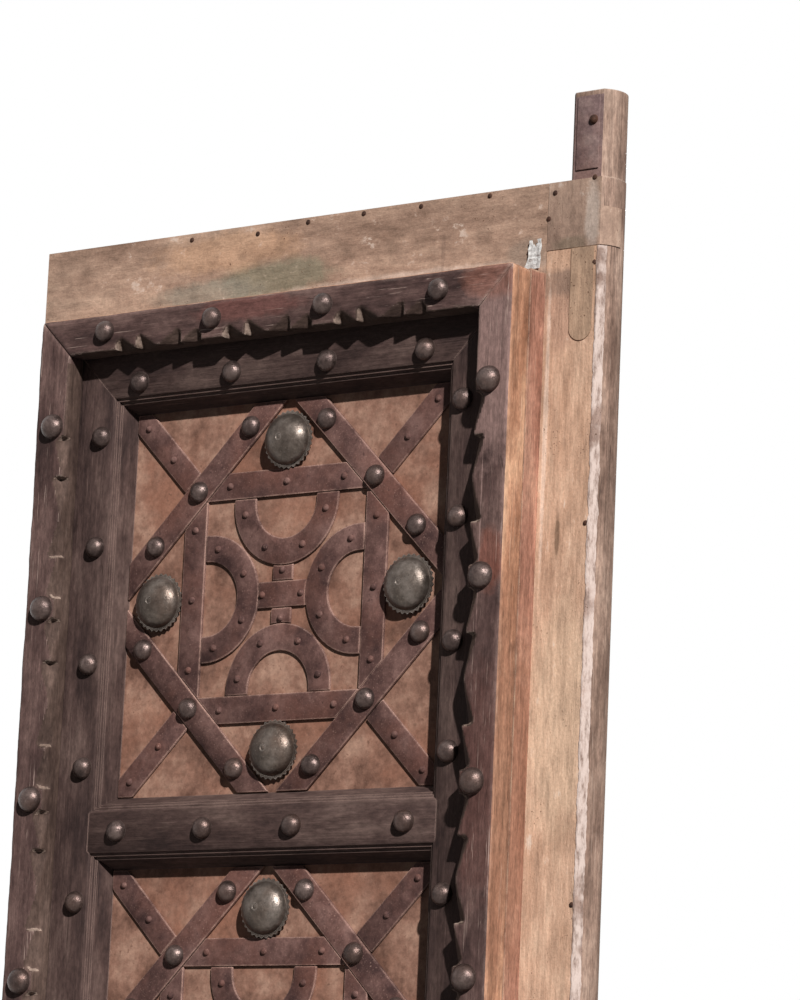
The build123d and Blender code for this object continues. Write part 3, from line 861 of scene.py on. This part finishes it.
def joined(pieces, name):
    """Several pieces as one."""
    bpy.ops.object.select_all(action="DESELECT")
    for piece in pieces:
        piece.select_set(True)
    bpy.context.view_layer.objects.active = pieces[0]
    if len(pieces) > 1:
        bpy.ops.object.join()
    pieces[0].name = name
    return pieces[0]


def scatter(pattern, places, name):
    """Copies of a pattern, turned to face the front, as one piece with its place in its mesh."""
    copies = []
    for place in places:
        twin = bpy.data.objects.new(name, pattern.data.copy())
        scene.collection.objects.link(twin)
        tilt = Matrix.Rotation(pi / 2 + HEAD_LEAN * chance.uniform(-1, 1), 4, "X")
        spin = Matrix.Rotation(chance.uniform(0, 2 * pi), 4, "Z")
        twin.matrix_world = Matrix.Translation(place) @ tilt @ spin
        copies.append(twin)
    piece = joined(copies, name)
    bpy.ops.object.transform_apply(location=True, rotation=True, scale=True)
    soften(piece, HEAD_ANGLE)
    bpy.data.objects.remove(pattern)
    return piece


# %% [markdown]
# The studs differ in size from one row to another, and sometimes within one. Each size gets a pattern of its
# own, and the heads of a row then become one piece.

# %% Studs
for node in ("strap_studs", "outer_frame_studs", "inner_frame_studs", "cross_rail_studs"):
    sizes = {}
    for low, high in lumps(node):
        size = (round((high.x - low.x) / 2, 4), round(high.y - low.y, 4))
        sizes.setdefault(size, []).append(foot(low, high))
    groups = [scatter(round_head(*size), feet, f"round_{node}") for size, feet in sizes.items()]
    heads = joined(groups, f"round_{node}")
    dress(heads, "stud")
    seat(heads, "stud_iron", node)
    print(node, [len(feet) for feet in sizes.values()], "heads")

# %% [markdown]
# A boss is a thin dome with a rim cut into small teeth, held by one nail in a ring at its crown. A disc is
# raised ring by ring with insets that follow the dome, a little prouder than the plain solid, and every
# second corner of its rim is drawn in.

# %% Bosses
BOSS_TEETH = 30
TOOTH_SHARE = 0.93
DOME_RINGS = 10
DOME_SHARE = 0.88
BOSS_SWELL = 1.35
RIM_SHARE = 0.08
RIM_REACH = 0.99
CROWN_RING = 6 * MM
CROWN_LIP = 1 * MM
CROWN_DEPTH = 0.7 * MM
NAIL_RADIUS = 2.5 * MM


def boss_head(radius, height):
    """One boss, standing on the ground and looking up."""
    bpy.ops.mesh.primitive_circle_add(vertices=2 * BOSS_TEETH, radius=radius, fill_type="NGON")
    head = bpy.context.object
    open_mesh(head)
    rim = height * RIM_SHARE
    bpy.ops.mesh.extrude_region_move(TRANSFORM_OT_translate={"value": (0, 0, rim)})
    reach = radius
    lift = rim
    for ring in range(DOME_RINGS):
        share = ring / DOME_RINGS
        inner = radius * DOME_SHARE * cos(pi / 2 * share)
        top = rim + (height - rim - CROWN_DEPTH) * sin(pi / 2 * share)
        bpy.ops.mesh.inset(thickness=reach - inner, depth=top - lift)
        reach = inner
        lift = top
    bpy.ops.mesh.inset(thickness=max(reach - CROWN_RING, CROWN_DEPTH), depth=height - CROWN_DEPTH - lift)
    bpy.ops.mesh.inset(thickness=CROWN_LIP, depth=-CROWN_DEPTH)
    bpy.ops.mesh.inset(thickness=CROWN_RING - CROWN_LIP - NAIL_RADIUS, depth=CROWN_DEPTH)
    bpy.ops.mesh.inset(thickness=NAIL_RADIUS / 2, depth=CROWN_DEPTH)
    close_mesh()
    for vertex in head.data.vertices:
        spoke = Vector((vertex.co.x, vertex.co.y))
        if spoke.length <= radius * RIM_REACH:
            continue
        if round(spoke.angle_signed(Vector((1, 0))) / pi * BOSS_TEETH) % 2:
            vertex.co.x *= TOOTH_SHARE
            vertex.co.y *= TOOTH_SHARE
    return head


boss_boxes = lumps("bosses")
low, high = boss_boxes[0]
pattern = boss_head((high.x - low.x) / 2, (high.y - low.y) * BOSS_SWELL)
bosses = scatter(pattern, [foot(*box) for box in boss_boxes], "toothed_bosses")
dress(bosses, "boss")
seat(bosses, "boss_iron", "bosses")
print("bosses", len(boss_boxes))

# %% [markdown]
# Small rivets hold the straps. They follow the straps: three on each side of the square, four on each bent
# strap, and a few on the ties and corner straps. Their places are worked out round the panel's centre.

# %% Rivets
RIVET_RADIUS = 4.6 * MM
RIVET_HEIGHT = 3.4 * MM
SQUARE_REACH = 140 * MM
SQUARE_STEP = 88 * MM
ARC_CENTRE = 116.5 * MM
ARC_RADIUS = 63.5 * MM
ARC_ANGLES = (-77, -27, 27, 77)
TIE_STEP = 30 * MM
CORNER_STEPS = (181 * MM, 224 * MM)

spots = [(step, SQUARE_REACH) for step in (-SQUARE_STEP, 0, SQUARE_STEP)]
spots += [(ARC_RADIUS * sin(radians(a)), ARC_CENTRE - ARC_RADIUS * cos(radians(a))) for a in ARC_ANGLES]
spots += [(step, step) for step in CORNER_STEPS]
spots.append((0, TIE_STEP))
rivet_places = []
for centre in panel_centres:
    for quarter in range(4):
        for x, z in spots:
            turned = Matrix.Rotation(quarter * pi / 2, 2) @ Vector((x, z))
            rivet_places.append(Vector((centre.x + turned.x, strap_front, centre.z + turned.y)))
pattern = round_head(RIVET_RADIUS, RIVET_HEIGHT, segments=12, rings=8)
rivets = scatter(pattern, rivet_places, "strap_rivets")
dress(rivets, "rivet")
seat(rivets, "strap_iron")
print("rivets", len(rivet_places))

# %% [markdown]
# A strip of tin is bent over the arris of the post to keep out the rain, and has flaked white. A flat grid
# is rolled on to the arris: its inner edge lies on the stile, the rest follows the round, and both edges
# wander. Bending tools would roll it evenly, so the corners are placed by their distance from the arris.

# %% Arris strip
STRIP_INNER = -2.5 * MM
STRIP_OUTER = 8.5 * MM
STRIP_LIFT = 0.5 * MM
STRIP_THICKNESS = 0.8 * MM
STRIP_WANDER = 1.5 * MM
STRIP_RIPPLE = 30 * MM
STRIP_NOISE = (0.5, 2.0, 5)
STRIP_FACES = (8, 600)
post_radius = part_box("pivot_stile")[1].x
strip_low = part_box("pivot_stile_sheet")[0].z
strip_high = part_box("pivot_stile_sheet")[1].z
strip_radius = post_radius + STRIP_LIFT
arris_turn = asin(arris / post_radius)
bpy.ops.mesh.primitive_grid_add(x_subdivisions=STRIP_FACES[0], y_subdivisions=STRIP_FACES[1], size=1)
strip = bpy.context.object
strip.name = "arris_strip"
for vertex in strip.data.vertices:
    height = strip_low + (vertex.co.y + 0.5) * (strip_high - strip_low)
    edge = Vector((round(vertex.co.x), 0, height / STRIP_RIPPLE))
    wander = STRIP_WANDER * noise.fractal(edge, *STRIP_NOISE)
    reach = STRIP_INNER + (vertex.co.x + 0.5) * (STRIP_OUTER - STRIP_INNER) + wander
    if reach < 0:
        vertex.co = (arris + reach, clad_front - STRIP_LIFT, height)
    else:
        turn = arris_turn + reach / post_radius
        vertex.co = (strip_radius * sin(turn), min(-strip_radius * cos(turn), 0), height)
modify(strip, "SOLIDIFY", thickness=STRIP_THICKNESS, offset=0)
soften(strip, CARVED_ANGLE)
dress(strip, "strip")
seat(strip, "clad_sheet")
print("strip from", round(strip_low, 3), "to", round(strip_high, 3))

# %% [markdown]
# A torn scrap of white tin is tacked where the frame, the rail and the stile meet. It is a small grid with a
# notch torn out of its top, crumpled with noise so that its faces catch the light unevenly. A fixed seed
# makes the noise the same each time.

# %% Tin tab
TAB_WIDTH = 17 * MM
TAB_HEIGHT = 36 * MM
TAB_PLACE = (350, 390)
TAB_FACES = (7, 12)
NOTCH_WIDTH = 0.2
NOTCH_DEPTH = 0.28
NOTCH_SLOPE = 3
TAB_CRUMPLE = 3.4 * MM
CREASE_SIZE = 8 * MM
TAB_SEED = 11
TAB_FLARE = 14 * MM
TAB_LIFT = 2.5 * MM
TAB_THICKNESS = 0.8 * MM
bpy.ops.mesh.primitive_grid_add(x_subdivisions=TAB_FACES[0], y_subdivisions=TAB_FACES[1], size=1)
tab = bpy.context.object
tab.name = "tin_tab"
open_mesh(tab)
bpy.ops.mesh.select_all(action="DESELECT")
close_mesh()
for face in tab.data.polygons:
    aside = abs(face.center.x)
    notch = 0.5 - NOTCH_DEPTH * (1 - NOTCH_SLOPE * aside)
    face.select = aside < NOTCH_WIDTH and face.center.y > notch
bpy.ops.object.mode_set(mode="EDIT")
bpy.ops.mesh.delete(type="FACE")
close_mesh()
noise.seed_set(TAB_SEED)
for vertex in tab.data.vertices:
    flare = max(0, -vertex.co.y) * (0.5 - vertex.co.x) * TAB_FLARE
    offset = Vector((vertex.co.x * TAB_WIDTH - flare, 0, vertex.co.y * TAB_HEIGHT))
    flat = on_face(*TAB_PLACE, clad_front) + offset
    crumple = TAB_CRUMPLE * noise.noise_vector(flat / CREASE_SIZE)
    vertex.co = flat + Vector((crumple.x / 2, -TAB_LIFT - abs(crumple.y), crumple.z / 2))
modify(tab, "SOLIDIFY", thickness=TAB_THICKNESS, offset=0)
dress(tab, "tab")
seat(tab, "clad_sheet")
print("tab faces", len(tab.data.polygons))

# %% [markdown]
# Nails hold the cladding. They are small, flat and dark, so low round heads are enough. One larger nail
# holds the plate on the flat of the pintle.

# %% Nails
NAIL_HEAD = 3.4 * MM
NAIL_HEIGHT = 1.6 * MM
RAIL_NAILS = ((-181, 468), (-75, 464), (4, 470), (90, 471), (177, 470), (279, 471))
PLATE_NAILS = ((374, 463), (366, 432), (430, 476))
STRIP_NAILS = ((433, 372), (434, 59), (434, -386), (434, -700))
PINTLE_NAIL = 6 * MM
PINTLE_NAIL_HEIGHT = 4.5 * MM
PINTLE_NAIL_PLACE = (426, 547)
nail_places = [on_face(x, z, clad_front) for x, z in RAIL_NAILS + PLATE_NAILS + STRIP_NAILS]
pattern = round_head(NAIL_HEAD, NAIL_HEIGHT, segments=10, rings=6)
nails = scatter(pattern, nail_places, "cladding_nails")
dress(nails, "nail")
seat(nails, "clad_sheet")
pattern = round_head(PINTLE_NAIL, PINTLE_NAIL_HEIGHT, segments=12, rings=8)
pintle_nail = scatter(pattern, [on_face(*PINTLE_NAIL_PLACE, strap_low.y)], "pintle_nail")
dress(pintle_nail, "nail")
seat(pintle_nail, "strap_iron")
print("nails", len(nail_places))
